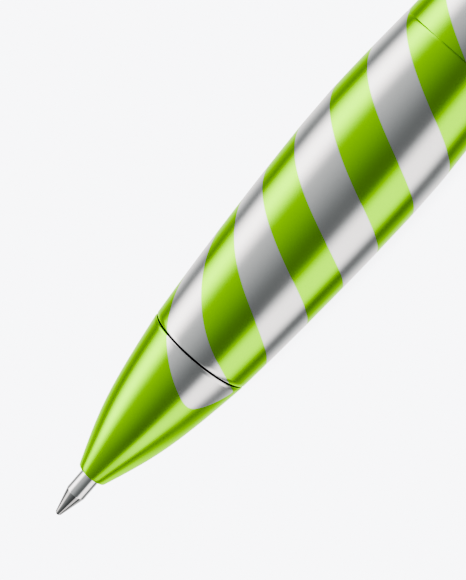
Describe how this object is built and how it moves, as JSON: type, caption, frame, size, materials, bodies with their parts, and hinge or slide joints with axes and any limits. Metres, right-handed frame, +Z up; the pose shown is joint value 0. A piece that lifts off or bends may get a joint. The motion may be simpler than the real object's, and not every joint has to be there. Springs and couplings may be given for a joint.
{
  "type": "click ballpoint pen",
  "caption": "Click ballpoint pen with a swelling torpedo barrel in two satin metallic colours, spring clip, push button and a steel writing point.",
  "frame": {"origin": "on the pen's axis, at the middle of the straight band at the widest place of the barrel", "axes": "+X along the pen from the writing point to the push button, -Y towards the clip, +Z up with the pen lying down"},
  "size_m": [0.1401, 0.017, 0.015],
  "materials": {
    "two_tone_barrel": "satin metallic green with helical silver bands",
    "green_nose": "satin metallic green, silver band runs onto it",
    "silver_trim": "satin silver",
    "clip_steel": "polished spring steel",
    "point_steel": "fine turned, bright",
    "ball_carbide": "polished",
    "brass": "machined",
    "refill_metal": "drawn tube",
    "spring_steel": "drawn wire",
    "white_plastic": "moulded",
    "black_plastic": "moulded",
    "black_rubber": "moulded ring",
    "ink": "paste ink",
    "grease": "clear grease"
  },
  "bodies": {
    "barrel": {"nose_cone": "green_nose", "tip_bush": "white_plastic", "nose_o_ring": "black_rubber", "nose_insert": "brass", "front_barrel": "two_tone_barrel", "barrel_coupling": "brass", "coupling_o_ring": "black_rubber", "upper_barrel": "two_tone_barrel", "cam_housing": "white_plastic", "clip_ring": "clip_steel", "end_cap": "silver_trim"},
    "refill": {"refill_point": "point_steel", "refill_nozzle": "brass", "refill_tube": "refill_metal", "ink_column": "ink", "ink_follower": "grease", "refill_end_plug": "black_plastic", "return_spring": "spring_steel"},
    "ball": {"writing_ball": "ball_carbide"},
    "rotor": {"rotor_cam": "black_plastic"},
    "button": {"button_plunger": "white_plastic", "push_button": "silver_trim"},
    "clip": {"clip": "clip_steel", "clip_pad": "clip_steel"}
  },
  "joints": [
    {"name": "refill_slide", "type": "slide", "parent": "barrel", "child": "refill", "axis": [1, 0, 0], "range_m": [-0.001, 0.0065], "deforming": ["return_spring"]},
    {"name": "button_slide", "type": "slide", "parent": "barrel", "child": "button", "axis": [1, 0, 0], "range_m": [-0.001, 0.0065]},
    {"name": "rotor_turn", "type": "hinge", "parent": "refill", "child": "rotor", "pos_m": [0.04613, 0, 0], "axis": [1, 0, 0], "range_deg": [-9.5, 60.1]},
    {"name": "ball_roll", "type": "hinge", "parent": "refill", "child": "ball", "pos_m": [-0.0519, 0, 0], "axis": [0, 1, 0], "continuous": true},
    {"name": "clip_flex", "type": "hinge", "parent": "barrel", "child": "clip", "pos_m": [0.07405, -0.00745, 0], "axis": [0, 0, 1], "range_deg": [0, 4], "stiffness_Nm_per_rad": 1}
  ],
  "couplings": [
    {"joint": "button_slide", "follows": "refill_slide", "ratio": 1},
    {"joint": "rotor_turn", "follows": "refill_slide", "rad_per_m": 161.11}
  ]
}
